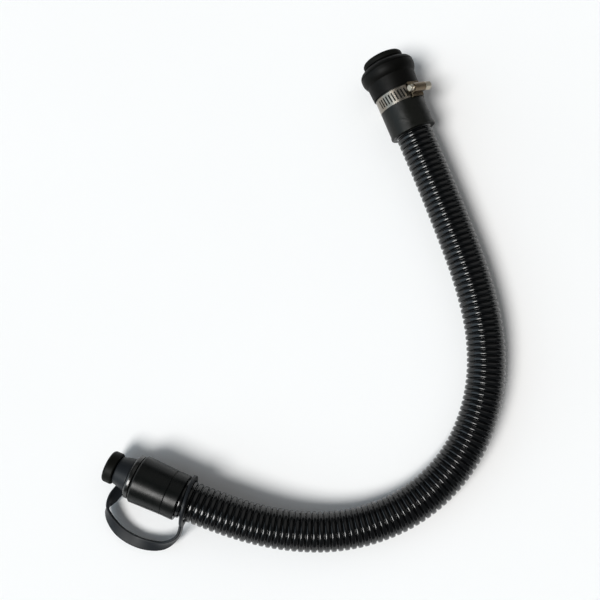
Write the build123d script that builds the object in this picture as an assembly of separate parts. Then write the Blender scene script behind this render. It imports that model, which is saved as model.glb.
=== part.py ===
"""Flexible corrugated breathing hose with a clamped mask adapter and a tethered push-in plug.

Millimetres, +Z up. The hose lies on the plane Z = 0 in a wide bend: the mask adapter ends it at the
far right, the plugged inlet at the near left. The origin is the bottom centre of the box around
every piece but the hose.

Each end is modelled in a frame of its own: its origin is the hose's end face inside the fitting,
+Z runs out of the hose towards the tip of the fitting, +Y is up and +X lies flat.
"""

import os
from math import atan, cos, degrees, pi, radians, sin, tan

from build123d import *

# Corrugated hose: the route's corners as (x, y, rise of the axis above its resting height)
HOSE_OD = 33.0
HOSE_BORE = 26.0
ARC_SHARE = 0.45  # of the shorter run beside a corner
ROUTE = [
    (117, 166, 6.0),
    (137, 117, 1.9),
    (156, 66, 0.1),
    (175, 9, 0.0),
    (185, -45, 0.0),
    (180, -97, 0.0),
    (158, -146, 0.0),
    (117, -184, 0.0),
    (65, -203, 0.2),
    (12, -203, 2.5),
    (-45, -188, 6.2),
    (-96, -166, 4.4),
]

# Bushes that stiffen both ends of the hose
BUSH_LENGTH = 18.0
BUSH_WALL = 1.5
BUSH_FLANGE = 1.2
BUSH_FLANGE_GAP = 0.1  # between the flange's rim and the bore around it

# Upper cuff: rubber sleeve over the hose's end and the adapter's spigot
CUFF_WALL = 3.7
CUFF_OVER_HOSE = 24.0
CUFF_LIP = 0.5  # the cuff flares by this much where it ends on the hose
CUFF_LIP_LENGTH = 2.4
CUFF_ROUND = 0.8

# Mask adapter: one moulding with a spigot, a barrel, a bead flange and a nose
ADAPTER_BORE = 27.0
SPIGOT_GAP = 0.3  # from the bush's flange
BARREL_STEP = 1.2  # the barrel stands this far proud of the cuff
BARREL_TAPER = 0.8  # and widens by this much on its way to the bead
BARREL_LENGTH = 12.4
BEAD_HEIGHT = 2.7  # above the barrel
BEAD_LENGTH = 15.0
BEAD_CREST = 8.4  # from the barrel to the bead's widest place
BEAD_RISE_BULGE = 0.9
BEAD_FALL_BULGE = 1.9
BEAD_SHOULDER = 3.0  # flat face round the nose
BEAD_GROOVE = 0.6
BEAD_GROOVE_FROM_CREST = 1.2
NOSE_WALL = 1.8
NOSE_LENGTH = 6.3
SOCKET_BORE = 28.0
SOCKET_DEPTH = 14.0  # from the mouth, through the lip of the seal

# Lip seal on the nose and the ring in the groove behind it
SEAL_WALL = 2.5
SEAL_LIP = 1.4
SEAL_ROUND = 3.4
SEAL_HEEL_ROUND = 0.6
RING_SECTION = 1.8
RING_SLACK = 0.1

# Worm-drive clamp
BAND_WIDTH = 12.0
BAND_THICK = 0.7
BAND_PROUD = 0.1  # of the cuff
BAND_MARGIN = 1.0  # of the spigot beyond the band on each side
BAND_OFFSET = 0.3  # of the band from the spigot's middle, towards the hose
SLOT_PITCH = 3.0
SLOT_WIDTH = 1.4
SLOT_LENGTH = 8.0
SLOT_SKEW = 8.0  # degrees
SLOT_COUNT = 10
SLOT_START = 28.0  # degrees from the housing's middle
TAIL_ARC = 42.0  # degrees of the band's free end that lie on the band, beyond the housing's middle
TAIL_STRAIGHT = 8.0
TAIL_OVERLAP = 0.4  # of the straight tip and the curved tail
TAIL_TIP_ROUND = 3.0
HOUSING_ANGLE = 125.0  # degrees about the end's axis
HOUSING_LENGTH = 14.0
HOUSING_SHEET = 0.8
HOUSING_SLACK = 0.15
SADDLE_THICK = 0.6
SADDLE_ARC = 38.0  # degrees
SADDLE_SLACK = 1.0  # degrees of its recess at each end
WORM_OD = 6.2
WORM_TIP = 4.0  # beyond the housing at one end
WORM_CHAMFER = 0.7
SCREW_COLLAR_OD = 8.0
SCREW_COLLAR = 1.0
SCREW_HEX = 7.0  # across flats
SCREW_HEX_LENGTH = 7.0
SCREW_HEX_CHAMFER = 0.5
SCREW_SLOT = 1.2
SCREW_SLOT_DEPTH = 1.5

# Lower end: a collar and an inlet body, sealed by a plug
LOWER_WALL = 2.8
MOUTH_FLARE = 0.9
COLLAR_LENGTH = 11.6
COLLAR_ROUND = 1.0
LOWER_OVER_HOSE = 22.0
SEAM = 0.4
SEAM_ROUND = 0.3
JOINT_LENGTH = 8.0  # sleeve of the inlet body inside the collar
JOINT_WALL = 1.4
BODY_LENGTH = 19.0  # beyond the hose's end
BODY_STOP = 2.5
BODY_STOP_STEP = 1.1
BODY_STOP_GAP = 0.1  # from the bush's flange
MOUTH_CHAMFER = 1.2
PLUG_BORE = 27.2

# Plug
PLUG_CLEARANCE = 0.4
STOPPER_GAP = 0.8  # from the inlet body's stop
STOPPER_WALL = 4.7
STOPPER_FLOOR = 4.0
STOPPER_CHAMFER = 1.0
PLUG_COVER = 5.0  # the flange's reach beyond the bore
PLUG_FLANGE = 4.8
PLUG_FLANGE_GAP = 0.6
PLUG_FLANGE_ROUND = 2.2
PLUG_FLANGE_HEEL_ROUND = 1.2
NECK_LENGTH = 13.4
NECK_LOW_OD = 24.8  # beside the flange
NECK_TOP_OD = 18.8  # under the knob
KNOB_OD = 26.8
KNOB_THICK = 8.8
KNOB_ROUND = 2.6
KNOB_HEEL_ROUND = 1.2
PLUG_RING_SECTION = 2.1
PLUG_RING_GROOVE = 2.5  # length
PLUG_RING_FROM_FLANGE = 8.0
RUNNING = 0.06  # radial clearance of the parts that turn or slide on each other

# Tether: a flat ring on the hose, a strap and a small ring on the plug's neck
TETHER_THICK = 2.6
TETHER_WIDTH = 9.8
HOSE_RING_GAP = 0.9  # round the hose
HOSE_RING_WALL = 4.1
HOSE_RING_OFFSET = 5.7  # from the collar's hose side to the ring's middle
HOSE_RING_COCK = 7.7  # degrees
PLUG_RING_WALL = 2.1
PLUG_RING_SIDE_GAP = 0.4
STRAP_GAP = 0.05  # under the small ring
STRAP_PAST_NECK = 2.0
STRAP_STEPS = 3  # sections between stations
# Stations of the strap's loop, as (out from the barrel's side, height, share of the way from the
# hose's ring to the small ring, lean in degrees). Lean 0 stands the strap on edge, and 90 lays it
# flat with its upper edge inwards.
STRAP_LOOP = [
    (11.7, -4.5, -0.04, 4),
    (24.3, -11.3, 0.13, 45),
    (29.7, -13.4, 0.45, 72),
    (27.1, -12.4, 0.79, 66),
    (16.7, -11.2, 1.04, 28),
    (4.7, -12.6, 1.05, -48),
    (-8.0, -15.2, 1.0, -77),
]


def hose_point(corner):
    """A route corner with its true height."""
    x, y, rise = corner
    return Vector(x, y, HOSE_OD / 2 + rise)


def end_plane(tip, before):
    """The frame of a fitting: origin at the hose's end face, +Z out of the hose, +Y up."""
    along = tip - before
    return Plane(origin=tip, x_dir=Vector(0, 0, 1).cross(along), z_dir=along)


POINTS = [hose_point(corner) for corner in ROUTE]
UPPER = end_plane(POINTS[0], POINTS[1])
LOWER = end_plane(POINTS[-1], POINTS[-2])


def disc(diameter, low, high):
    """A solid cylinder about the end's axis, between two heights."""
    bottom = (Align.CENTER, Align.CENTER, Align.MIN)
    return Pos(0, 0, low) * Cylinder(diameter / 2, high - low, align=bottom)


def sleeve(outer, inner, low, high):
    return disc(outer, low, high) - disc(inner, low, high)


def cone_between(low_diameter, top_diameter, low, high):
    bottom = (Align.CENTER, Align.CENTER, Align.MIN)
    return Pos(0, 0, low) * Cone(low_diameter / 2, top_diameter / 2, high - low, align=bottom)


def rim(solid, diameter, height):
    """The circular edges of one diameter at one height."""
    found = []
    for edge in solid.edges().filter_by(GeomType.CIRCLE):
        same_size = abs(edge.radius - diameter / 2) < 0.01
        if same_size and abs(edge.arc_center.Z - height) < 0.01:
            found.append(edge)
    return found


# ---- hose ----


def hose_path():
    """Straight runs joined by tangent arcs, each as large as its two runs allow."""
    radii = []
    for before, corner, after in zip(POINTS, POINTS[1:], POINTS[2:]):
        turn = (corner - before).get_angle(after - corner)
        shorter = min((corner - before).length, (after - corner).length)
        radii.append(ARC_SHARE * shorter / tan(radians(turn) / 2))
    print("hose arc radii:", [round(radius) for radius in radii])
    return FilletPolyline(*POINTS, radius=radii)


def corrugated_hose():
    path = hose_path()
    start = Plane(origin=path @ 0, z_dir=path % 0)
    outside = sweep(start * Circle(HOSE_OD / 2), path=path)
    inside = sweep(start * Circle(HOSE_BORE / 2), path=path)
    hose = outside - inside
    section = (Circle(HOSE_OD / 2) - Circle(HOSE_BORE / 2)).area
    print("hose length", round(path.length, 1), "volume over section times length",
          round(hose.volume / (section * path.length), 4))
    return hose


def hose_bush():
    """A rigid liner inside the hose's end, with a flange on the end face."""
    bore = HOSE_BORE - 2 * BUSH_WALL
    flange_od = HOSE_OD - 2 * BUSH_FLANGE_GAP
    return sleeve(HOSE_BORE, bore, -BUSH_LENGTH, 0) + sleeve(flange_od, bore, 0, BUSH_FLANGE)


# ---- upper end ----

CUFF_OD = HOSE_OD + 2 * CUFF_WALL
BARREL_LOW_OD = CUFF_OD + 2 * BARREL_STEP
BARREL_TOP_OD = BARREL_LOW_OD + 2 * BARREL_TAPER
BEAD_OD = BARREL_TOP_OD + 2 * BEAD_HEIGHT
NOSE_OD = SOCKET_BORE + 2 * NOSE_WALL
SEAL_OD = NOSE_OD + 2 * SEAL_WALL
SPIGOT_LENGTH = BAND_WIDTH + 2 * BAND_MARGIN
SPIGOT_LOW = BUSH_FLANGE + SPIGOT_GAP
BARREL_LOW = SPIGOT_LOW + SPIGOT_LENGTH
BARREL_TOP = BARREL_LOW + BARREL_LENGTH
BEAD_TOP = BARREL_TOP + BEAD_LENGTH
NOSE_TOP = BEAD_TOP + NOSE_LENGTH
UPPER_MOUTH = NOSE_TOP + SEAL_LIP
BAND_CENTRE = SPIGOT_LOW + SPIGOT_LENGTH / 2 - BAND_OFFSET
BAND_LOW = BAND_CENTRE - BAND_WIDTH / 2
BAND_OD = CUFF_OD + 2 * BAND_PROUD
BAND_BORE = BAND_OD - 2 * BAND_THICK
TAIL_OD = BAND_OD + 2 * BAND_THICK
SADDLE_BORE = BAND_BORE - 2 * SADDLE_THICK
HOUSING_INSIDE = WORM_OD / 2 + HOUSING_SLACK
HOUSING_OUTSIDE = HOUSING_INSIDE + HOUSING_SHEET
HOUSING_WIDTH = BAND_WIDTH + 2 * HOUSING_SLACK + 2 * HOUSING_SHEET
HOUSING_LOW = BAND_CENTRE - HOUSING_WIDTH / 2
SCREW_RADIUS = TAIL_OD / 2 + HOUSING_SLACK + WORM_OD / 2
CLAMP = Plane(
    origin=(0, 0, BAND_CENTRE),
    x_dir=(-sin(radians(HOUSING_ANGLE)), cos(radians(HOUSING_ANGLE)), 0),
    z_dir=(cos(radians(HOUSING_ANGLE)), sin(radians(HOUSING_ANGLE)), 0),
)


def sector(outer, inner, low, high, middle, span):
    """A stretch of a sleeve: span degrees about the angle middle."""
    side = outer * tan(radians(span / 2))
    outline = Polyline((0, 0), (outer, -side), (outer, side), close=True)
    wedge = Pos(0, 0, low) * Rot(0, 0, middle) * extrude(make_face(outline), high - low)
    return sleeve(outer, inner, low, high) & wedge


def upper_cuff():
    low = -CUFF_OVER_HOSE
    lip_od = CUFF_OD + 2 * CUFF_LIP
    cuff = disc(CUFF_OD, low, BARREL_LOW) + disc(lip_od, low, low + CUFF_LIP_LENGTH)
    cuff = fillet(rim(cuff, lip_od, low), CUFF_ROUND)
    cuff -= sleeve(lip_od, BAND_BORE, BAND_LOW, BAND_LOW + BAND_WIDTH)
    recess_low = HOUSING_LOW - HOUSING_SLACK
    recess_arc = SADDLE_ARC + 2 * SADDLE_SLACK
    recess_top = HOUSING_LOW + HOUSING_WIDTH
    cuff -= sector(lip_od, SADDLE_BORE, recess_low, recess_top, HOUSING_ANGLE, recess_arc)
    return cuff - disc(HOSE_OD, low, BARREL_LOW)


def bead_profile():
    """Half section of the whole adapter, as (radius, height)."""
    crest = (BEAD_OD / 2, BARREL_TOP + BEAD_CREST)
    shoulder = (NOSE_OD / 2 + BEAD_SHOULDER, BEAD_TOP)
    barrel = Line((BARREL_LOW_OD / 2, BARREL_LOW), (BARREL_TOP_OD / 2, BARREL_TOP))
    rise = SagittaArc(barrel @ 1, crest, -BEAD_RISE_BULGE)
    fall = SagittaArc(crest, shoulder, -BEAD_FALL_BULGE)
    rest = Polyline(
        shoulder,
        (NOSE_OD / 2, BEAD_TOP),
        (NOSE_OD / 2, NOSE_TOP),
        (SOCKET_BORE / 2, NOSE_TOP),
        (SOCKET_BORE / 2, UPPER_MOUTH - SOCKET_DEPTH),
        (ADAPTER_BORE / 2, UPPER_MOUTH - SOCKET_DEPTH),
        (ADAPTER_BORE / 2, SPIGOT_LOW),
        (HOSE_OD / 2, SPIGOT_LOW),
        (HOSE_OD / 2, BARREL_LOW),
        (BARREL_LOW_OD / 2, BARREL_LOW),
    )
    return make_face(Plane.XZ * (barrel + rise + fall + rest))


def mask_adapter():
    groove_height = BARREL_TOP + BEAD_CREST + BEAD_GROOVE_FROM_CREST
    groove = Pos(0, 0, groove_height) * Torus(BEAD_OD / 2, BEAD_GROOVE)
    return revolve(bead_profile(), axis=Axis.Z) - groove


def adapter_lip_seal():
    low = BEAD_TOP + RING_SECTION + RING_SLACK
    seal = disc(SEAL_OD, low, UPPER_MOUTH)
    seal = fillet(rim(seal, SEAL_OD, UPPER_MOUTH), SEAL_ROUND)
    seal = fillet(rim(seal, SEAL_OD, low), SEAL_HEEL_ROUND)
    return seal - disc(NOSE_OD, low, NOSE_TOP) - disc(SOCKET_BORE, NOSE_TOP, UPPER_MOUTH)


def adapter_o_ring():
    middle = BEAD_TOP + RING_SECTION / 2
    return Pos(0, 0, middle) * Torus((NOSE_OD + RING_SECTION) / 2, RING_SECTION / 2)


def band_slots():
    """Skewed slots for the worm's thread, cut right through one layer of the band."""
    slots = []
    step = 360 * SLOT_PITCH / (pi * BAND_OD)
    for number in range(SLOT_COUNT):
        angle = HOUSING_ANGLE - SLOT_START - number * step
        cutter = Rot(SLOT_SKEW, 0, 0) * Box(4 * BAND_THICK, SLOT_WIDTH, SLOT_LENGTH)
        slots.append(Pos(0, 0, BAND_CENTRE) * Rot(0, 0, angle) * Pos(BAND_OD / 2, 0, 0) * cutter)
    return slots


def tail_tip():
    """The straight end of the band's tail, with rounded corners."""
    flat = Align.MIN, Align.MIN, Align.CENTER
    tip = Box(BAND_THICK, TAIL_STRAIGHT, BAND_WIDTH, align=flat)
    tip = fillet(tip.edges().filter_by(Axis.X).sort_by(Axis.Y)[-2:], TAIL_TIP_ROUND)
    place = Rot(0, 0, HOUSING_ANGLE + TAIL_ARC) * Pos(BAND_OD / 2, -TAIL_OVERLAP, 0)
    return Pos(0, 0, BAND_CENTRE) * place * tip


def clamp_band():
    top = BAND_LOW + BAND_WIDTH
    tail_middle = HOUSING_ANGLE + TAIL_ARC / 2
    band = sleeve(BAND_OD, BAND_BORE, BAND_LOW, top)
    band += sector(TAIL_OD, BAND_OD, BAND_LOW, top, tail_middle, TAIL_ARC)
    return band + tail_tip() - band_slots()


def clamp_saddle():
    top = HOUSING_LOW + HOUSING_WIDTH
    return sector(BAND_BORE, SADDLE_BORE, HOUSING_LOW, top, HOUSING_ANGLE, SADDLE_ARC)


def clamp_housing():
    """A pressed cover with an arch over the worm and a leg each side of the band."""
    foot = BAND_BORE / 2
    shoulder = TAIL_OD / 2 + HOUSING_SLACK + HOUSING_SHEET
    middle = (Align.CENTER, Align.MIN)

    def section(arch, half_width, top):
        legs = Pos(0, foot) * Rectangle(2 * half_width, top - foot, align=middle)
        walls = Pos(0, foot) * Rectangle(2 * arch, SCREW_RADIUS - foot, align=middle)
        return legs + walls + Pos(0, SCREW_RADIUS) * Circle(arch)

    outside = section(HOUSING_OUTSIDE, HOUSING_WIDTH / 2, shoulder)
    inside = section(HOUSING_INSIDE, HOUSING_WIDTH / 2 - HOUSING_SHEET, shoulder - HOUSING_SHEET)
    across = Plane(origin=(-HOUSING_LENGTH / 2, 0, 0), x_dir=(0, 1, 0), z_dir=(1, 0, 0))
    housing = extrude(across * (outside - inside), HOUSING_LENGTH)
    housing -= extrude(Plane.XZ * Circle(foot), HOUSING_WIDTH, both=True)
    return CLAMP.location * housing


def clamp_screw():
    """Worm, collar and slotted hexagon head, along the clamp's +X."""
    worm_end = HOUSING_LENGTH / 2 + HOUSING_SLACK
    worm_low = -HOUSING_LENGTH / 2 - WORM_TIP
    head_low = worm_end + SCREW_COLLAR
    head_top = head_low + SCREW_HEX_LENGTH
    worm = disc(WORM_OD, worm_low, worm_end)
    worm = chamfer(rim(worm, WORM_OD, worm_low), WORM_CHAMFER)
    hexagon = RegularPolygon(SCREW_HEX / 2, 6, major_radius=False)
    corners = 2 * SCREW_HEX_LENGTH  # a cone at 45 degrees takes the head's corners off
    tip_od = SCREW_HEX - SCREW_HEX_CHAMFER
    head = Pos(0, 0, head_low) * extrude(hexagon, SCREW_HEX_LENGTH)
    head &= cone_between(tip_od + corners, tip_od, head_low, head_top)
    slot = Box(2 * SCREW_HEX, SCREW_SLOT, 2 * SCREW_SLOT_DEPTH)
    screw = worm + disc(SCREW_COLLAR_OD, worm_end, head_low) + head - Pos(0, 0, head_top) * slot
    return CLAMP.location * Pos(0, 0, SCREW_RADIUS) * Rot(0, 90, 0) * screw


# ---- lower end ----

LOWER_OD = HOSE_OD + 2 * LOWER_WALL
MOUTH_OD = LOWER_OD + 2 * MOUTH_FLARE
COLLAR_LOW = -LOWER_OVER_HOSE
COLLAR_TOP = COLLAR_LOW + COLLAR_LENGTH
BODY_LOW = COLLAR_TOP + SEAM
JOINT_OD = HOSE_OD + 2 * JOINT_WALL
JOINT_LOW = COLLAR_TOP - JOINT_LENGTH
STOP_LOW = BUSH_FLANGE + BODY_STOP_GAP
STOP_TOP = STOP_LOW + BODY_STOP
FLANGE_LOW = BODY_LENGTH + PLUG_FLANGE_GAP
FLANGE_TOP = FLANGE_LOW + PLUG_FLANGE
NECK_TOP = FLANGE_TOP + NECK_LENGTH
STOPPER_OD = PLUG_BORE - 2 * PLUG_CLEARANCE
STOPPER_LOW = STOP_TOP + STOPPER_GAP
PLUG_FLANGE_OD = PLUG_BORE + 2 * PLUG_COVER
PLUG_RING_OD = PLUG_BORE - 2 * RUNNING
PLUG_RING_MIDDLE = FLANGE_LOW - PLUG_RING_FROM_FLANGE
NECK_TAPER = (NECK_LOW_OD - NECK_TOP_OD) / 2 / NECK_LENGTH


def hose_collar():
    collar = disc(LOWER_OD, COLLAR_LOW, COLLAR_TOP)
    collar = fillet(rim(collar, LOWER_OD, COLLAR_LOW), COLLAR_ROUND)
    collar = fillet(rim(collar, LOWER_OD, COLLAR_TOP), SEAM_ROUND)
    return collar - disc(HOSE_OD, COLLAR_LOW, COLLAR_TOP) - disc(JOINT_OD, JOINT_LOW, COLLAR_TOP)


def inlet_body():
    body = cone_between(LOWER_OD, MOUTH_OD, BODY_LOW, BODY_LENGTH)
    body = chamfer(rim(body, MOUTH_OD, BODY_LENGTH), MOUTH_CHAMFER)
    body = fillet(rim(body, LOWER_OD, BODY_LOW), SEAM_ROUND)
    body += disc(JOINT_OD, JOINT_LOW, BODY_LOW)
    body -= disc(HOSE_OD, JOINT_LOW, STOP_LOW)
    body -= disc(PLUG_BORE - 2 * BODY_STOP_STEP, STOP_LOW, STOP_TOP)
    return body - disc(PLUG_BORE, STOP_TOP, BODY_LENGTH)


def plug():
    stopper = disc(STOPPER_OD, STOPPER_LOW, FLANGE_LOW)
    stopper = chamfer(rim(stopper, STOPPER_OD, STOPPER_LOW), STOPPER_CHAMFER)
    groove_floor = PLUG_RING_OD - 2 * PLUG_RING_SECTION
    groove_low = PLUG_RING_MIDDLE - PLUG_RING_GROOVE / 2
    stopper -= sleeve(PLUG_BORE, groove_floor, groove_low, groove_low + PLUG_RING_GROOVE)
    stopper -= disc(STOPPER_OD - 2 * STOPPER_WALL, STOPPER_LOW, FLANGE_LOW - STOPPER_FLOOR)
    flange = disc(PLUG_FLANGE_OD, FLANGE_LOW, FLANGE_TOP)
    flange = fillet(rim(flange, PLUG_FLANGE_OD, FLANGE_TOP), PLUG_FLANGE_ROUND)
    flange = fillet(rim(flange, PLUG_FLANGE_OD, FLANGE_LOW), PLUG_FLANGE_HEEL_ROUND)
    neck = cone_between(NECK_LOW_OD, NECK_TOP_OD, FLANGE_TOP, NECK_TOP)
    knob = disc(KNOB_OD, NECK_TOP, NECK_TOP + KNOB_THICK)
    knob = fillet(rim(knob, KNOB_OD, NECK_TOP + KNOB_THICK), KNOB_ROUND)
    knob = fillet(rim(knob, KNOB_OD, NECK_TOP), KNOB_HEEL_ROUND)
    return stopper + flange + neck + knob


def plug_o_ring():
    middle_radius = (PLUG_RING_OD - PLUG_RING_SECTION) / 2
    return Pos(0, 0, PLUG_RING_MIDDLE) * Torus(middle_radius, PLUG_RING_SECTION / 2)


def small_ring_bore(height):
    """The small ring's bore at a height: the plug's tapered neck and the running clearance."""
    return NECK_LOW_OD - 2 * NECK_TAPER * (height - FLANGE_TOP) + 2 * RUNNING


def tether_end_ring():
    """The tether's small ring: a sleeve that turns on the plug's tapered neck."""
    low = FLANGE_TOP + PLUG_RING_SIDE_GAP
    high = NECK_TOP - PLUG_RING_SIDE_GAP
    low_bore = small_ring_bore(low)
    top_bore = small_ring_bore(high)
    wall = 2 * PLUG_RING_WALL
    outside = cone_between(low_bore + wall, top_bore + wall, low, high)
    return outside - cone_between(low_bore, top_bore, low, high)


def strap_stations():
    """The strap's stations in the lower end's frame, from the hose's ring to under the small ring."""
    ring_height = COLLAR_LOW - HOSE_RING_OFFSET
    ring_radius = HOSE_OD / 2 + HOSE_RING_GAP + HOSE_RING_WALL / 2
    neck_height = (FLANGE_TOP + NECK_TOP) / 2
    taper = atan(NECK_TAPER)
    below = small_ring_bore(neck_height) / 2 + PLUG_RING_WALL
    below += (TETHER_THICK / 2 + STRAP_GAP) / cos(taper)
    start_height = ring_height - ring_radius * sin(radians(HOSE_RING_COCK))
    stations = [(ring_radius, 0, start_height, 0)]
    for out, height, share, lean in STRAP_LOOP:
        along = ring_height + share * (neck_height - ring_height)
        stations.append((LOWER_OD / 2 + out, height, along, lean))
    stations.append((-STRAP_PAST_NECK, -below, neck_height, degrees(taper) - 90))
    return stations


def between(stations, place):
    """A smooth (Catmull-Rom) curve's value at a place counted in stations."""
    number = min(int(place), len(stations) - 2)
    share = place - number
    first = stations[max(number - 1, 0)]
    last = stations[min(number + 2, len(stations) - 1)]
    value = []
    for p, q, r, s in zip(first, stations[number], stations[number + 1], last):
        bend = 2 * p - 5 * q + 4 * r - s + share * (3 * q - p - 3 * r + s)
        value.append(q + share / 2 * (r - p + share * bend))
    return value


def strap_section(middle, along, lean):
    """The strap's cross-section at one station, leaning inwards by an angle from upright."""
    inwards = along.cross(Vector(0, 1, 0)).normalized()
    upright = inwards.cross(along).normalized()
    width_dir = upright * cos(radians(lean)) + inwards * sin(radians(lean))
    plane = Plane(origin=middle, x_dir=width_dir, z_dir=along)
    return plane * Rectangle(TETHER_WIDTH, TETHER_THICK)


def strap():
    stations = strap_stations()
    count = STRAP_STEPS * (len(stations) - 1)
    curve = [between(stations, number / STRAP_STEPS) for number in range(count + 1)]
    points = [Vector(x, y, z) for x, y, z, _ in curve]
    sections = []
    for number, (*_, lean) in enumerate(curve):
        along = points[min(number + 1, count)] - points[max(number - 1, 0)]
        sections.append(strap_section(points[number], along.normalized(), lean))
    return loft(sections, ruled=True)


def plug_tether():
    bore = HOSE_OD + 2 * HOSE_RING_GAP
    half = TETHER_THICK / 2
    flat_ring = sleeve(bore + 2 * HOSE_RING_WALL, bore, -half, half)
    middle = COLLAR_LOW - HOSE_RING_OFFSET
    return Pos(0, 0, middle) * Rot(0, HOSE_RING_COCK, 0) * flat_ring + strap()


PIECES = {
    "corrugated_hose": (None, corrugated_hose),
    "upper_hose_bush": (UPPER, hose_bush),
    "upper_cuff": (UPPER, upper_cuff),
    "mask_adapter": (UPPER, mask_adapter),
    "adapter_lip_seal": (UPPER, adapter_lip_seal),
    "adapter_o_ring": (UPPER, adapter_o_ring),
    "clamp_band": (UPPER, clamp_band),
    "clamp_saddle": (UPPER, clamp_saddle),
    "clamp_housing": (UPPER, clamp_housing),
    "clamp_screw": (UPPER, clamp_screw),
    "lower_hose_bush": (LOWER, hose_bush),
    "hose_collar": (LOWER, hose_collar),
    "inlet_body": (LOWER, inlet_body),
    "plug": (LOWER, plug),
    "plug_o_ring": (LOWER, plug_o_ring),
    "tether_end_ring": (LOWER, tether_end_ring),
    "plug_tether": (LOWER, plug_tether),
}

os.makedirs("parts", exist_ok=True)
for name, (frame, make) in PIECES.items():
    piece = make()
    if frame is not None:
        piece = frame.location * piece
    export_step(piece, f"parts/{name}.step")
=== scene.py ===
"""Looks of the snorkel tube: a corrugated breathing hose with a clamped mask adapter at one end and
a tethered plug at the other, lying on a pale floor. Metres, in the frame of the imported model."""

from math import atan, cos, degrees, pi, radians, sin, tau

import bpy
import numpy as np
from mathutils import Matrix, Vector, noise


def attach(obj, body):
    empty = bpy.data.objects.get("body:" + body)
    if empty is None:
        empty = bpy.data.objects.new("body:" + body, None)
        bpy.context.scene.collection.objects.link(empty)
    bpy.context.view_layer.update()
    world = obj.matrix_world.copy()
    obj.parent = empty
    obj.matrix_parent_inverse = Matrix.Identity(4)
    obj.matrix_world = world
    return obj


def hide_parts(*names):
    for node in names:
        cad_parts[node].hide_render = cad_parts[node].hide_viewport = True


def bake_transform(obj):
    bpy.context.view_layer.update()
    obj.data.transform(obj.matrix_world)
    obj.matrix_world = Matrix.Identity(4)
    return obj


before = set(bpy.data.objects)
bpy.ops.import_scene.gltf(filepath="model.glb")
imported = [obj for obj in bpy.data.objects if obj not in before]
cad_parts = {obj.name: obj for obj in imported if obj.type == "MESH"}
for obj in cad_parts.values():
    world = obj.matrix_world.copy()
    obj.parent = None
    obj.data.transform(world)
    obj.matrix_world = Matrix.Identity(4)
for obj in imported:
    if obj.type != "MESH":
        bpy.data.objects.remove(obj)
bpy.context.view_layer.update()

MM = 0.001

# ---- driving sizes, as in the CAD (millimetres) ----

HOSE_OD = 33.0
HOSE_BORE = 26.0
ROUTE = [
    (117, 166, 6.0),
    (137, 117, 1.9),
    (156, 66, 0.1),
    (175, 9, 0.0),
    (185, -45, 0.0),
    (180, -97, 0.0),
    (158, -146, 0.0),
    (117, -184, 0.0),
    (65, -203, 0.2),
    (12, -203, 2.5),
    (-45, -188, 6.2),
    (-96, -166, 4.4),
]
RING_PITCH = 5.1
RING_DEPTH = 1.9
RING_UNEVENNESS = 0.012  # of a ring's place and height, as a share
LOWER_OVER_HOSE = 22.0

# ---- camera ----

CAMERA_PLACE = (0.0230, -0.1232, 0.7089)
CAMERA_TURN = (9.5, 0.05, -0.33)  # degrees
CAMERA_LENS = 48.28
CAMERA_SENSOR = 36


def add_camera():
    data = bpy.data.cameras.new("camera")
    data.lens = CAMERA_LENS
    data.sensor_width = CAMERA_SENSOR
    data.clip_start = 0.01
    data.clip_end = 20
    camera = bpy.data.objects.new("camera", data)
    camera.location = CAMERA_PLACE
    camera.rotation_euler = [radians(angle) for angle in CAMERA_TURN]
    bpy.context.scene.collection.objects.link(camera)
    bpy.context.scene.camera = camera


add_camera()

# ---- helpers ----


def route_point(corner):
    x, y, rise = corner
    return Vector((x, y, HOSE_OD / 2 + rise)) * MM


def end_frame(tip, before):
    """A fitting's frame: origin at the hose's end, z out of the hose, y up, in millimetres."""
    along = (tip - before).normalized()
    side = Vector((0, 0, 1)).cross(along).normalized()
    up = along.cross(side)
    turn = Matrix((side, up, along)).transposed().to_4x4()
    return Matrix.Translation(tip) @ turn @ Matrix.Scale(MM, 4)


POINTS = [route_point(corner) for corner in ROUTE]
UPPER = end_frame(POINTS[0], POINTS[1])
LOWER = end_frame(POINTS[-1], POINTS[-2])


def mesh_piece(name, points, faces, place=None, smooth=True):
    """A mesh object from points and faces; place takes its points to the row frame."""
    data = bpy.data.meshes.new(name)
    if place is not None:
        points = [place @ Vector(point) for point in points]
    data.from_pydata([tuple(point) for point in points], [], faces)
    data.update()
    data.shade_smooth() if smooth else data.shade_flat()
    piece = bpy.data.objects.new(name, data)
    bpy.context.scene.collection.objects.link(piece)
    return piece


def grid_faces(rows, columns, close_rows=False):
    """Quads over rings of points, each ring closed on itself."""
    faces = []
    for row in range(rows if close_rows else rows - 1):
        after = (row + 1) % rows
        for column in range(columns):
            beside = (column + 1) % columns
            faces.append(
                (
                    row * columns + column,
                    row * columns + beside,
                    after * columns + beside,
                    after * columns + column,
                )
            )
    return faces


def add_modifier(piece, kind, **settings):
    modifier = piece.modifiers.new(kind.lower(), kind)
    for name, value in settings.items():
        setattr(modifier, name, value)
    return modifier


def round_edges(piece, size, segments, sharper_than):
    """Rounds a piece's edges that turn by more than an angle; size in millimetres."""
    add_modifier(
        piece,
        "BEVEL",
        width=size * MM,
        segments=segments,
        limit_method="ANGLE",
        angle_limit=radians(sharper_than),
        use_clamp_overlap=True,
    )


def freeze(piece):
    """Replaces a piece's mesh by its shape with modifiers applied."""
    graph = bpy.context.evaluated_depsgraph_get()
    data = bpy.data.meshes.new_from_object(piece.evaluated_get(graph))
    piece.modifiers.clear()
    piece.data = data


# ---- hose ----

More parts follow.
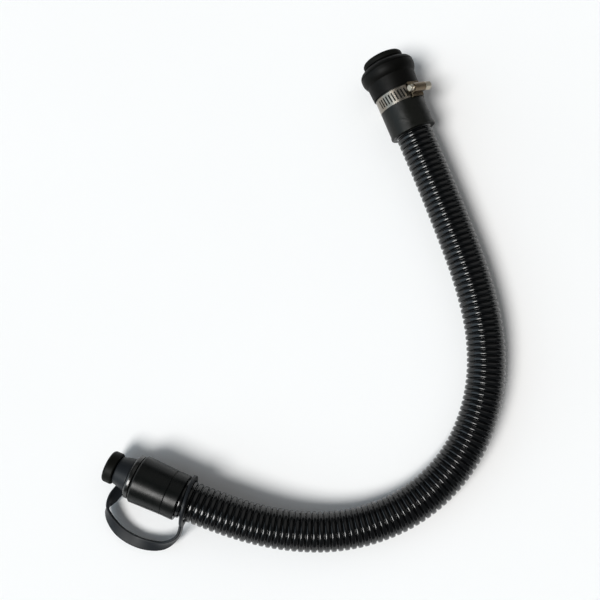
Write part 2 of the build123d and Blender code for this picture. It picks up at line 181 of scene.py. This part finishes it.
RING_PROFILE = [  # share of the pitch, share of the depth
    (0.0, 0.0),
    (0.05, 0.08),
    (0.1, 0.38),
    (0.16, 0.72),
    (0.24, 0.91),
    (0.36, 0.98),
    (0.5, 1.0),
    (0.64, 0.98),
    (0.76, 0.91),
    (0.84, 0.72),
    (0.9, 0.38),
    (0.95, 0.08),
]
AROUND = 56


def hose_line():
    """Points along the hose's smooth axis, read from a NURBS curve with the route as controls."""
    curve = bpy.data.curves.new("hose_axis", "CURVE")
    curve.dimensions = "3D"
    spline = curve.splines.new("NURBS")
    spline.points.add(len(POINTS) - 1)
    for number, point in enumerate(POINTS):
        spline.points[number].co = (*point, 1)
    spline.order_u = 3
    spline.use_endpoint_u = True
    spline.resolution_u = 40
    guide = bpy.data.objects.new("hose_axis", curve)
    bpy.context.scene.collection.objects.link(guide)
    graph = bpy.context.evaluated_depsgraph_get()
    data = bpy.data.meshes.new_from_object(guide.evaluated_get(graph))
    line = np.array([vertex.co for vertex in data.vertices], float)
    bpy.data.objects.remove(guide)
    return line


def distances(line):
    steps = np.linalg.norm(np.diff(line, axis=0), axis=1)
    return np.concatenate([[0], np.cumsum(steps)])


def at_distance(line, along, where):
    return np.array([np.interp(where, along, line[:, axis]) for axis in range(3)]).T


def ring_of(centre, ahead, radius):
    """A circle of points round the hose's axis."""
    side = np.cross([0, 0, 1], ahead)
    side /= np.linalg.norm(side)
    up = np.cross(ahead, side)
    turn = np.arange(AROUND) * tau / AROUND
    circle = np.outer(np.cos(turn), side) + np.outer(np.sin(turn), up)
    return centre + circle * radius


def make_hose():
    line = hose_line()
    along = distances(line)
    length = along[-1]
    count = round(length / (RING_PITCH * MM))
    pitch = length / count
    wobble = np.random.default_rng(7)
    places = []
    radii = []
    valley = HOSE_OD / 2 - RING_DEPTH
    for number in range(count):
        grown = 1 + wobble.normal(0, RING_UNEVENNESS)
        shift = wobble.normal(0, RING_UNEVENNESS)
        for share, height in RING_PROFILE:
            places.append((number + share + (shift if height else 0)) * pitch)
            radii.append((valley + RING_DEPTH * height * min(grown, 1.0)) * MM)
    places.append(length)
    radii.append(valley * MM)
    places = np.array(places)
    step = 0.5 * MM
    centres = at_distance(line, along, places)
    ahead = at_distance(line, along, places + step) - at_distance(line, along, places - step)
    ahead /= np.linalg.norm(ahead, axis=1)[:, None]
    rings = [ring_of(c, a, r) for c, a, r in zip(centres, ahead, radii)]
    inner = range(len(places) - 1, -1, -len(RING_PROFILE) // 2)
    inside = [ring_of(centres[i], ahead[i], HOSE_BORE / 2 * MM) for i in inner]
    if inner[-1] != 0:
        inside.append(ring_of(centres[0], ahead[0], HOSE_BORE / 2 * MM))
    rings += inside
    points = np.concatenate(rings)
    hose = mesh_piece("hose", points, grid_faces(len(rings), AROUND, close_rows=True))
    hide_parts("corrugated_hose")
    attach(hose, "tube")


make_hose()

# ---- tether: ring on the hose, strap and small ring on the plug's neck, one soft moulding ----

LOWER_WALL = 2.8
LOWER_OD = HOSE_OD + 2 * LOWER_WALL
TETHER_THICK = 2.6
TETHER_WIDTH = 9.8
HOSE_RING_GAP = 0.9
HOSE_RING_WALL = 4.1
RING_HEIGHT = -LOWER_OVER_HOSE - 5.7
HOSE_RING_COCK = 7.7
FLANGE_TOP = 24.4
NECK_LENGTH = 13.4
NECK_LOW_OD = 24.8
NECK_TOP_OD = 18.8
NECK_TOP = FLANGE_TOP + NECK_LENGTH
NECK_TAPER = (NECK_LOW_OD - NECK_TOP_OD) / 2 / NECK_LENGTH
PLUG_RING_WALL = 2.1
STRAP_LOOP = [  # reach beyond the barrel, height, share of the way to the neck, lean in degrees
    (11.7, -4.5, -0.04, 4),
    (24.3, -11.3, 0.13, 45),
    (29.7, -13.4, 0.45, 72),
    (27.1, -12.4, 0.79, 66),
    (16.7, -11.2, 1.04, 28),
    (4.7, -12.6, 1.05, -48),
    (-8.0, -15.2, 1.0, -77),
]
STRAP_STEPS = 10
TETHER_VOXEL = 0.4
TETHER_EDGE = 0.55


def small_ring_bore(height):
    return NECK_LOW_OD - 2 * NECK_TAPER * (height - FLANGE_TOP) + 0.12


def strap_stations():
    radius = HOSE_OD / 2 + HOSE_RING_GAP + HOSE_RING_WALL / 2
    neck = (FLANGE_TOP + NECK_TOP) / 2
    taper = atan(NECK_TAPER)
    below = small_ring_bore(neck) / 2 + PLUG_RING_WALL + 0.5 * TETHER_THICK * cos(taper)
    stations = [(radius, 0, RING_HEIGHT - radius * sin(radians(HOSE_RING_COCK)), 0)]
    for out, height, share, lean in STRAP_LOOP:
        stations.append((LOWER_OD / 2 + out, height, RING_HEIGHT + share * (neck - RING_HEIGHT), lean))
    stations.append((-2.0, -below, neck, degrees(taper) - 90))
    return stations


def between(stations, place):
    """A smooth (Catmull-Rom) curve's value at a place counted in stations."""
    number = min(int(place), len(stations) - 2)
    share = place - number
    first = stations[max(number - 1, 0)]
    last = stations[min(number + 2, len(stations) - 1)]
    value = []
    for p, q, r, s in zip(first, stations[number], stations[number + 1], last):
        bend = 2 * p - 5 * q + 4 * r - s + share * (3 * q - p - 3 * r + s)
        value.append(q + share / 2 * (r - p + share * bend))
    return value


def rounded_section(width, thick, corner, steps=4):
    """Outline of a flat strip with rounded corners, as (across, through)."""
    outline = []
    for quarter in range(4):
        turn = quarter * pi / 2
        signs = [(1, 1), (-1, 1), (-1, -1), (1, -1)][quarter]
        for step in range(steps + 1):
            angle = turn + step / steps * pi / 2
            across = signs[0] * (width / 2 - corner) + corner * cos(angle)
            through = signs[1] * (thick / 2 - corner) + corner * sin(angle)
            outline.append((across, through))
    return outline


def strap_points():
    stations = strap_stations()
    count = STRAP_STEPS * (len(stations) - 1)
    curve = [between(stations, number / STRAP_STEPS) for number in range(count + 1)]
    middles = [Vector(value[:3]) for value in curve]
    outline = rounded_section(TETHER_WIDTH, TETHER_THICK, TETHER_EDGE)
    points = []
    for number, value in enumerate(curve):
        along = middles[min(number + 1, count)] - middles[max(number - 1, 0)]
        along.normalize()
        inwards = along.cross(Vector((0, 1, 0))).normalized()
        upright = inwards.cross(along).normalized()
        lean = radians(value[3])
        across = upright * cos(lean) + inwards * sin(lean)
        through = along.cross(across)
        for wide, deep in outline:
            points.append(middles[number] + across * wide + through * deep)
    return points, len(outline), count + 1


def ring_points(profile, segments, turn=None):
    """Points of a closed profile (radius, height) turned about z."""
    points = []
    for step in range(segments):
        angle = step * tau / segments
        for radius, height in profile:
            point = Vector((radius * cos(angle), radius * sin(angle), height))
            points.append(turn @ point if turn else point)
    return points


def make_tether():
    points, columns, rows = strap_points()
    faces = grid_faces(rows, columns)
    faces.append(tuple(range(columns - 1, -1, -1)))
    faces.append(tuple((rows - 1) * columns + column for column in range(columns)))
    middle = HOSE_OD / 2 + HOSE_RING_GAP + HOSE_RING_WALL / 2
    flat = rounded_section(HOSE_RING_WALL, TETHER_THICK, TETHER_EDGE)
    flat = [(middle + across, through) for across, through in flat]
    cock = Matrix.Translation((0, 0, RING_HEIGHT)) @ Matrix.Rotation(radians(HOSE_RING_COCK), 4, "Y")
    low = FLANGE_TOP + 0.4
    high = NECK_TOP - 0.4
    low_bore = small_ring_bore(low) / 2
    top_bore = small_ring_bore(high) / 2
    sleeve = [
        (low_bore, low),
        (low_bore + PLUG_RING_WALL - 0.5, low),
        (low_bore + PLUG_RING_WALL, low + 0.5),
        (top_bore + PLUG_RING_WALL, high - 0.6),
        (top_bore + PLUG_RING_WALL - 0.6, high),
        (top_bore, high),
    ]
    for profile, turn in ((flat, cock), (sleeve, None)):
        start = len(points)
        around = 96
        points += ring_points(profile, around, turn)
        for face in grid_faces(around, len(profile), close_rows=True):
            faces.append(tuple(start + corner for corner in face))
    tether = mesh_piece("tether", points, faces, LOWER)
    add_modifier(tether, "REMESH", mode="VOXEL", voxel_size=TETHER_VOXEL * MM)
    add_modifier(tether, "SMOOTH", factor=0.5, iterations=4)
    freeze(tether)
    tether.data.shade_smooth()
    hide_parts("plug_tether", "tether_end_ring")
    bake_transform(tether)


make_tether()

# ---- clamp screw: pilot end, thread, collar and slotted hexagon head ----

BAND_CENTRE = 8.2
HOUSING_ANGLE = 125.0
HOUSING_LENGTH = 14.0
HOUSING_SLACK = 0.15
SCREW_RADIUS = 24.25
WORM_OD = 6.2
WORM_ROOT = 4.4
WORM_TIP = 4.0
WORM_CHAMFER = 0.7
PILOT_LENGTH = 2.4
THREAD_PITCH = 3.0
THREAD_STEEPNESS = 2.6
THREAD_CUT = 0.9
SCREW_STEP = 0.2
SCREW_OVERLAP = 0.1
SCREW_EDGE = 0.12
SCREW_COLLAR_OD = 8.0
SCREW_COLLAR = 1.0
SCREW_HEX = 7.0
SCREW_HEX_LENGTH = 7.0
SCREW_HEX_CHAMFER = 0.25
SCREW_SLOT = 1.2
SCREW_SLOT_DEPTH = 1.5
WORM_LOW = -HOUSING_LENGTH / 2 - WORM_TIP
WORM_END = HOUSING_LENGTH / 2 + HOUSING_SLACK
HEAD_LOW = WORM_END + SCREW_COLLAR
HEAD_TOP = HEAD_LOW + SCREW_HEX_LENGTH


def screw_frame():
    """Millimetres along the screw (z, towards its head) to the row frame."""
    angle = radians(HOUSING_ANGLE)
    outwards = Vector((cos(angle), sin(angle), 0))
    along = Vector((-sin(angle), cos(angle), 0))
    side = outwards.cross(along)
    turn = Matrix((outwards, side, along)).transposed().to_4x4()
    return UPPER @ Matrix.Translation(outwards * SCREW_RADIUS + Vector((0, 0, BAND_CENTRE))) @ turn


def turned(heights, radius_at, around=60):
    """A closed solid about z, its radius given by angle and height."""
    points = []
    for height in heights:
        for step in range(around):
            angle = step * tau / around
            radius = radius_at(angle, height)
            points.append((radius * cos(angle), radius * sin(angle), height))
    faces = grid_faces(len(heights), around)
    faces.append(tuple(range(around - 1, -1, -1)))
    faces.append(tuple((len(heights) - 1) * around + step for step in range(around)))
    return points, faces


def thread_radius(angle, height):
    bevelled = WORM_OD / 2 - WORM_CHAMFER + (height - WORM_LOW)
    if height < WORM_LOW + PILOT_LENGTH:
        return min(WORM_OD / 2, bevelled)
    phase = (height / THREAD_PITCH - angle / tau) % 1
    ridge = THREAD_STEEPNESS * (1 - 2 * abs(phase - 0.5)) - THREAD_CUT
    return (WORM_ROOT + (WORM_OD - WORM_ROOT) * max(0.0, min(1.0, ridge))) / 2


def collar_radius(angle, height):
    edge = min(height - WORM_END, HEAD_LOW - height)
    return SCREW_COLLAR_OD / 2 - max(0.0, SCREW_STEP - edge)


def hexagon_radius(angle, height):
    corner = SCREW_HEX / 2 / cos((angle + pi / 6) % (pi / 3) - pi / 6)
    return min(corner, SCREW_HEX / 2 - SCREW_HEX_CHAMFER + (HEAD_TOP - height))


def make_screw():
    count = round((WORM_END - WORM_LOW) / SCREW_STEP)
    worm_length = WORM_END + SCREW_OVERLAP - WORM_LOW
    worm = [WORM_LOW + worm_length * step / count for step in range(count + 1)]
    collar = [WORM_END, WORM_END + SCREW_STEP, HEAD_LOW - SCREW_STEP, HEAD_LOW]
    head = [HEAD_LOW - SCREW_OVERLAP] + [HEAD_TOP - drop for drop in (1.0, 0.8, 0.6, 0.4, 0.2, 0.0)]
    points = []
    faces = []
    for heights, radius_at in ((worm, thread_radius), (collar, collar_radius), (head, hexagon_radius)):
        start = len(points)
        more_points, more_faces = turned(heights, radius_at)
        points += more_points
        faces += [tuple(start + corner for corner in face) for face in more_faces]
    screw = mesh_piece("worm_screw", points, faces, screw_frame())
    across = SCREW_HEX
    half = SCREW_SLOT / 2
    outline = [(-across, -half), (across, -half), (across, half), (-across, half)]
    corners = [(x, y, z) for z in (HEAD_TOP - SCREW_SLOT_DEPTH, HEAD_TOP + 1) for x, y in outline]
    sides = [(3, 2, 1, 0), (4, 5, 6, 7), (0, 1, 5, 4), (1, 2, 6, 5), (2, 3, 7, 6), (3, 0, 4, 7)]
    cutter = mesh_piece("cutter", corners, sides, screw_frame(), smooth=False)
    add_modifier(screw, "BOOLEAN", operation="DIFFERENCE", object=cutter, solver="EXACT", use_self=True)
    freeze(screw)
    bpy.data.objects.remove(cutter)
    screw.data.shade_flat()
    round_edges(screw, SCREW_EDGE, 2, 32)
    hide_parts("clamp_screw")
    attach(screw, "screw")


make_screw()

# ---- softened edges of the moulded and pressed pieces ----

EDGE_ROUNDS = {
    "upper_cuff": 0.5,
    "mask_adapter": 0.5,
    "hose_collar": 0.3,
    "inlet_body": 0.9,
    "plug": 0.9,
    "clamp_band": 0.08,
    "clamp_housing": 0.25,
}
EDGE_ANGLE = 35

for edge_name, edge_size in EDGE_ROUNDS.items():
    round_edges(bpy.data.objects[edge_name], edge_size, 3, EDGE_ANGLE)

# ---- materials ----


class Material:
    """A principled material and short ways to feed it from procedural nodes."""

    def __init__(self, name, **values):
        self.material = bpy.data.materials.new(name)
        self.material.use_nodes = True
        self.nodes = self.material.node_tree.nodes
        self.links = self.material.node_tree.links
        self.shader = self.nodes["Principled BSDF"]
        for socket, value in values.items():
            self.shader.inputs[socket.replace("_", " ")].default_value = value
        self.place = self.nodes.new("ShaderNodeTexCoord").outputs["Object"]

    def node(self, kind, settings=None, **inputs):
        made = self.nodes.new(kind)
        for name, value in (settings or {}).items():
            setattr(made, name, value)
        for name, value in inputs.items():
            socket = made.inputs[name.replace("_", " ")]
            if isinstance(value, bpy.types.NodeSocket):
                self.links.new(value, socket)
            else:
                socket.default_value = value
        return made

    def noise(self, scale, detail=4.0, rough=0.55, place=None, distortion=0.0):
        made = self.node(
            "ShaderNodeTexNoise",
            Vector=place or self.place,
            Scale=scale,
            Detail=detail,
            Roughness=rough,
            Distortion=distortion,
        )
        return made.outputs["Fac"]

    def span(self, value, low, high, to_low, to_high):
        """value's range low to high taken to another range, and kept within it."""
        made = self.node("ShaderNodeMapRange", Value=value)
        ends = {"From Min": low, "From Max": high, "To Min": to_low, "To Max": to_high}
        for name, number in ends.items():
            made.inputs[name].default_value = number
        return made.outputs["Result"]

    def mix(self, share, first, second):
        made = self.node("ShaderNodeMix", {"data_type": "RGBA"})
        for number, value in ((0, share), (6, first), (7, second)):
            if isinstance(value, bpy.types.NodeSocket):
                self.links.new(value, made.inputs[number])
            else:
                made.inputs[number].default_value = value if number == 0 else (*value, 1)
        return made.outputs[2]

    def feed(self, socket, value):
        self.links.new(value, self.shader.inputs[socket])

    def bump(self, height, depth_mm, strength=1.0):
        """Raises the surface by a height from 0 to 1, this many millimetres deep."""
        made = self.nodes.new("ShaderNodeBump")
        made.inputs["Strength"].default_value = strength
        made.inputs["Distance"].default_value = depth_mm * MM
        self.links.new(height, made.inputs["Height"])
        before = self.shader.inputs["Normal"]
        if before.is_linked:
            self.links.new(before.links[0].from_socket, made.inputs["Normal"])
        self.links.new(made.outputs["Normal"], before)

    def stretched(self, frame_of, factors):
        """Coordinates in an end's own frame, in millimetres times a factor along each axis."""
        inverse = frame_of.inverted()
        turn = inverse.to_3x3().normalized()
        mapping = self.node("ShaderNodeMapping", Vector=self.place)
        mapping.inputs["Rotation"].default_value = turn.to_euler()
        mapping.inputs["Scale"].default_value = (1 / MM, 1 / MM, 1 / MM)
        mapping.inputs["Location"].default_value = inverse.translation
        scaled = self.node("ShaderNodeVectorMath", {"operation": "MULTIPLY"})
        self.links.new(mapping.outputs["Vector"], scaled.inputs[0])
        scaled.inputs[1].default_value = factors
        return scaled.outputs["Vector"]


def rubber(name, colour, worn, rough, spread, grain_mm=0.03, grain=1400, **values):
    """Moulded rubber or plastic: clouded colour, uneven gloss, fine grain and faint handling marks."""
    made = Material(name, **values)
    cloud = made.noise(45, detail=6, rough=0.6)
    scuffs = made.noise(260, detail=8, rough=0.7, distortion=0.6)
    scuff_mask = made.span(scuffs, 0.56, 0.72, 0.0, 0.6)
    faded = [0.7 * fresh + 0.3 * old for fresh, old in zip(colour, worn)]
    clouded = made.mix(made.span(cloud, 0.35, 0.7, 0.0, 1.0), colour, faded)
    made.feed("Base Color", made.mix(scuff_mask, clouded, worn))
    gloss = made.noise(120, detail=5, rough=0.6)
    made.feed("Roughness", made.span(gloss, 0.3, 0.7, rough - spread, rough + spread))
    made.bump(made.noise(grain, detail=3), grain_mm)
    made.bump(made.noise(180, detail=3, distortion=0.3), 2 * grain_mm, strength=0.6)
    return made


def gloss_on_flange(made):
    """The plug's flange is polished by its seat; its knob stays matte."""
    height = made.node("ShaderNodeSeparateXYZ", Vector=made.stretched(LOWER, (1, 1, 1))).outputs["Z"]
    matte = made.span(height, FLANGE_TOP - 0.5, FLANGE_TOP + 1.5, 0.0, 1.0)
    before = made.shader.inputs["Roughness"].links[0].from_socket
    polished = made.node("ShaderNodeMath", {"operation": "MULTIPLY"})
    made.links.new(before, polished.inputs[0])
    made.links.new(made.span(matte, 0.0, 1.0, 0.45, 1.0), polished.inputs[1])
    made.feed("Roughness", polished.outputs["Value"])
    made.feed("Specular IOR Level", made.span(matte, 0.0, 1.0, 0.6, 0.1))


def steel(name, colour, stain, rough, frame_of, factors):
    """Rolled steel: streaks along one direction, light stains and a fine uneven gloss."""
    made = Material(name, Metallic=1.0)
    streaks = made.noise(1.0, detail=6, rough=0.7, place=made.stretched(frame_of, factors))
    stains = made.noise(130, detail=5, rough=0.65, distortion=0.4)
    made.feed("Base Color", made.mix(made.span(stains, 0.5, 0.75, 0.0, 0.7), colour, stain))
    made.feed("Roughness", made.span(streaks, 0.3, 0.7, rough - 0.08, rough + 0.1))
    made.bump(streaks, 0.02)
    made.bump(made.noise(900, detail=2), 0.01)
    return made


def paint(material, *names):
    for name in names:
        piece = bpy.data.objects[name]
        piece.data.materials.clear()
        piece.data.materials.append(material.material)


DULL = 0.1
SATIN = 0.2
GLOSSY = 0.45

RUBBERS = [  # name, colour, worn colour, roughness and its spread, grain in mm, shine, pieces
    ("hose_rubber", (0.001, 0.0013, 0.0015), (0.003, 0.0034, 0.0036),
     0.17, 0.04, 0.004, GLOSSY, ["hose"]),
    ("tether_rubber", (0.0085, 0.0102, 0.0125), (0.013, 0.015, 0.0175),
     0.42, 0.05, 0.015, SATIN, ["tether"]),
    ("cuff_rubber", (0.0026, 0.003, 0.002), (0.006, 0.0065, 0.0048),
     0.4, 0.08, 0.03, SATIN, ["upper_cuff"]),
    ("adapter_plastic", (0.001, 0.001, 0.0007), (0.003, 0.003, 0.0023),
     0.5, 0.06, 0.02, DULL, ["mask_adapter"]),
    ("seal_rubber", (0.0019, 0.0021, 0.0014), (0.005, 0.0053, 0.004),
     0.7, 0.08, 0.04, DULL, ["adapter_lip_seal"]),
    ("o_ring_rubber", (0.0015, 0.0015, 0.0015), (0.003, 0.003, 0.003),
     0.5, 0.06, 0.02, DULL, ["adapter_o_ring", "plug_o_ring"]),
    ("liner_plastic", (0.01, 0.01, 0.01), (0.016, 0.016, 0.016),
     0.6, 0.06, 0.02, DULL, ["upper_hose_bush", "lower_hose_bush"]),
    ("inlet_plastic", (0.0015, 0.0021, 0.0018), (0.005, 0.006, 0.0056),
     0.28, 0.06, 0.015, SATIN, ["hose_collar", "inlet_body"]),
    ("plug_rubber", (0.0024, 0.0026, 0.0019), (0.006, 0.0063, 0.005),
     0.5, 0.08, 0.04, DULL, ["plug"]),
]
STEELS = [  # name, colour, stain, roughness, streaks along the upper end's axes, pieces
    ("band_steel", (0.26, 0.235, 0.2), (0.12, 0.09, 0.06),
     0.26, (0.3, 0.3, 6.0), ["clamp_band", "clamp_saddle"]),
    ("housing_steel", (0.15, 0.115, 0.075), (0.07, 0.05, 0.03),
     0.3, (0.4, 0.4, 5.0), ["clamp_housing"]),
    ("screw_steel", (0.42, 0.38, 0.31), (0.2, 0.15, 0.1), 0.34, (2.0, 2.0, 2.0), ["worm_screw"]),
]
CUFF_WRINKLES = 0.45


def paint_everything():
    made = {}
    for name, colour, worn, rough, spread, grain, shine, pieces in RUBBERS:
        made[name] = rubber(name, colour, worn, rough, spread, grain, Specular_IOR_Level=shine)
        paint(made[name], *pieces)
    for name, colour, stain, rough, streaks, pieces in STEELS:
        paint(steel(name, colour, stain, rough, UPPER, streaks), *pieces)
    gloss_on_flange(made["plug_rubber"])
    cuff = made["cuff_rubber"]
    cuff.bump(cuff.noise(75, detail=2, distortion=0.8), CUFF_WRINKLES)


paint_everything()

# ---- floor and light ----


def add_floor():
    half = 10.0
    corners = [(-half, -half, 0), (half, -half, 0), (half, half, 0), (-half, half, 0)]
    floor = mesh_piece("floor", corners, [(0, 1, 2, 3)])
    pale = Material("pale_floor", Roughness=0.9)
    pale.feed("Base Color", pale.mix(pale.noise(3), (0.92, 0.92, 0.92), (0.95, 0.95, 0.95)))
    paint(pale, "floor")


def add_sun(name, towards, strength, width, colour):
    data = bpy.data.lights.new(name, "SUN")
    data.energy = strength
    data.angle = radians(width)
    data.color = colour
    sun = bpy.data.objects.new(name, data)
    sun.rotation_euler = Vector(towards).to_track_quat("Z", "Y").to_euler()
    bpy.context.scene.collection.objects.link(sun)


def add_world():
    world = bpy.data.worlds.new("studio")
    world.use_nodes = True
    background = world.node_tree.nodes["Background"]
    background.inputs["Color"].default_value = (0.9, 0.95, 1.0, 1)
    background.inputs["Strength"].default_value = 0.14
    bpy.context.scene.world = world


add_floor()
add_sun("key", (-0.58, -0.45, 1.0), 2.95, 26, (1.0, 0.99, 0.97))
add_sun("left_fill", (-1.0, -0.1, 0.45), 1.0, 60, (0.72, 0.88, 1.0))
add_sun("back_fill", (0.5, 0.7, 0.9), 0.25, 60, (1.0, 0.97, 0.93))
add_world()
bpy.context.scene.view_settings.view_transform = "Standard"
